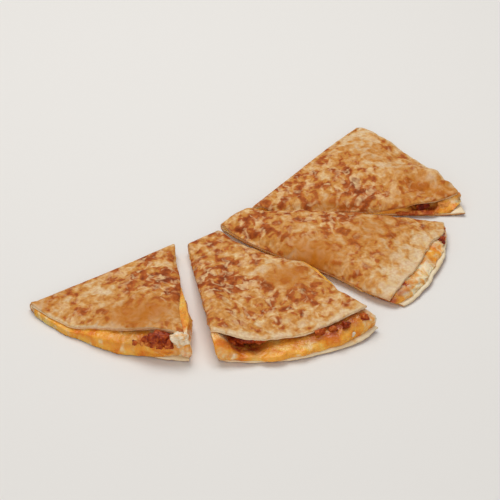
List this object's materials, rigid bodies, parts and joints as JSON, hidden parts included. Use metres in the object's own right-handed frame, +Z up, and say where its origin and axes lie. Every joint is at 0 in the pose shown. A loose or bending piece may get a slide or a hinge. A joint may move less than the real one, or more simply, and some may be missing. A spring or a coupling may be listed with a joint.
{
  "type": "quesadilla",
  "caption": "Grilled flour tortilla folded in half over melted cheese and chicken, cut into wedges that lie a little apart with the filling showing at the round edge.",
  "frame": {"origin": "centre of the part's footprint on the surface it lies on, between the two middle wedges", "axes": "+Z up; +X along the folded edge, from the left outer wedge to the right one; the round open edge towards -Y and the folded edge towards +Y"},
  "size_m": [0.2786, 0.1593, 0.0168],
  "materials": {
    "tortilla": "dry, toasted in spots",
    "cheese": "melted, glossy",
    "chicken": "browned, moist",
    "white_cheese": "soft, satin"
  },
  "bodies": {
    "root": {"wedge_1_tortilla": "tortilla", "wedge_2_tortilla": "tortilla", "wedge_3_tortilla": "tortilla", "wedge_4_tortilla": "tortilla", "wedge_1_cheese": "cheese", "wedge_2_cheese": "cheese", "wedge_3_cheese": "cheese", "wedge_4_cheese": "cheese", "wedge_1_chicken_1": "chicken", "wedge_1_chicken_2": "chicken", "wedge_2_chicken_1": "chicken", "wedge_2_chicken_2": "chicken", "wedge_2_chicken_3": "chicken", "wedge_3_chicken_1": "chicken", "wedge_4_chicken_1": "chicken", "wedge_4_chicken_2": "chicken", "wedge_1_white_cheese": "white_cheese"}
  },
  "joints": []
}
